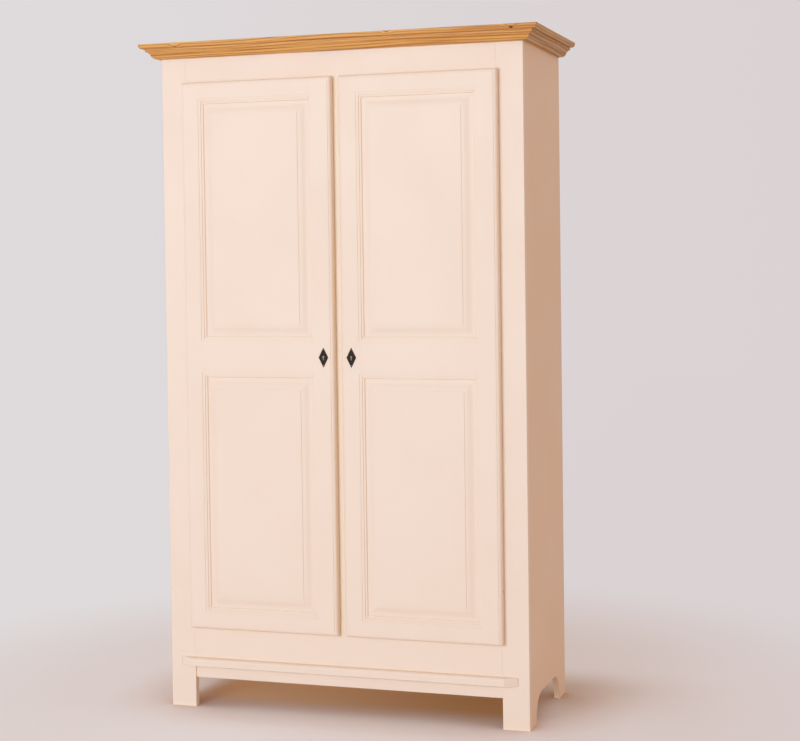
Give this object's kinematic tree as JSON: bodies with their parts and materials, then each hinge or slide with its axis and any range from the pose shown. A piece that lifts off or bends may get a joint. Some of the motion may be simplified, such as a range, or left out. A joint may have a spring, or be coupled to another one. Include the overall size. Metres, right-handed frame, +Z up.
{
  "type": "wardrobe",
  "caption": "Painted pine wardrobe with twin framed doors and raised panels, a waxed pine cornice, shaped side feet, diamond keyhole plates, a hat shelf and a hanging rail.",
  "frame": {"origin": "On the floor, under the middle of the box around the whole wardrobe with its doors shut.", "axes": "+X to the right as seen from the front, +Y from the doors to the back, +Z up from the feet to the cornice."},
  "size_m": [1.202, 0.496, 1.9675],
  "materials": {
    "painted_pine": "satin cream paint",
    "waxed_pine": "waxed",
    "raw_pine": "bare",
    "dark_iron": "dark",
    "steel": "dull"
  },
  "bodies": {
    "carcass": {"apron_board": "painted_pine", "back_board_1": "raw_pine", "back_board_2": "raw_pine", "back_board_3": "raw_pine", "back_board_4": "raw_pine", "back_board_5": "raw_pine", "back_board_6": "raw_pine", "back_board_7": "raw_pine", "base_board": "raw_pine", "bottom_front_rail": "painted_pine", "centre_mullion": "painted_pine", "cornice_front": "waxed_pine", "hanging_rail": "raw_pine", "hat_shelf": "raw_pine", "left_cornice_return": "waxed_pine", "left_front_stile": "painted_pine", "left_hat_shelf_cleat": "raw_pine", "left_lower_frame_leaf": "steel", "left_rail_socket": "steel", "left_side_panel": "painted_pine", "left_strike_plate": "steel", "left_upper_frame_leaf": "steel", "plinth_moulding": "painted_pine", "right_cornice_return": "waxed_pine", "right_front_stile": "painted_pine", "right_hat_shelf_cleat": "raw_pine", "right_lower_frame_leaf": "steel", "right_rail_socket": "steel", "right_side_panel": "painted_pine", "right_strike_plate": "steel", "right_upper_frame_leaf": "steel", "top_board": "raw_pine", "top_front_rail": "painted_pine"},
    "left_door": {"left_door_bottom_rail": "painted_pine", "left_door_hinge_pins": "steel", "left_door_hinge_stile": "painted_pine", "left_door_lock_rail": "painted_pine", "left_door_lock_stile": "painted_pine", "left_door_lower_panel": "painted_pine", "left_door_top_rail": "painted_pine", "left_door_upper_panel": "painted_pine", "left_escutcheon": "dark_iron", "left_lock_case": "steel", "left_lower_door_leaf": "steel", "left_upper_door_leaf": "steel"},
    "right_door": {"right_door_bottom_rail": "painted_pine", "right_door_hinge_pins": "steel", "right_door_hinge_stile": "painted_pine", "right_door_lock_rail": "painted_pine", "right_door_lock_stile": "painted_pine", "right_door_lower_panel": "painted_pine", "right_door_top_rail": "painted_pine", "right_door_upper_panel": "painted_pine", "right_escutcheon": "dark_iron", "right_lock_case": "steel", "right_lower_door_leaf": "steel", "right_upper_door_leaf": "steel"},
    "left_bolt": {"left_lock_bolt": "steel"},
    "right_bolt": {"right_lock_bolt": "steel"}
  },
  "joints": [
    {"name": "right_door_swing", "type": "hinge", "parent": "carcass", "child": "right_door", "pos_m": [0.4745, -0.206, 1.046], "axis": [0, 0, 1], "range_deg": [0, 110]},
    {"name": "left_door_swing", "type": "hinge", "parent": "carcass", "child": "left_door", "pos_m": [-0.4745, -0.206, 1.046], "axis": [0, 0, -1], "range_deg": [0, 110]},
    {"name": "right_bolt_slide", "type": "slide", "parent": "right_door", "child": "right_bolt", "axis": [-1, 0, 0], "range_m": [0, 0.009]},
    {"name": "left_bolt_slide", "type": "slide", "parent": "left_door", "child": "left_bolt", "axis": [1, 0, 0], "range_m": [0, 0.009]}
  ]
}
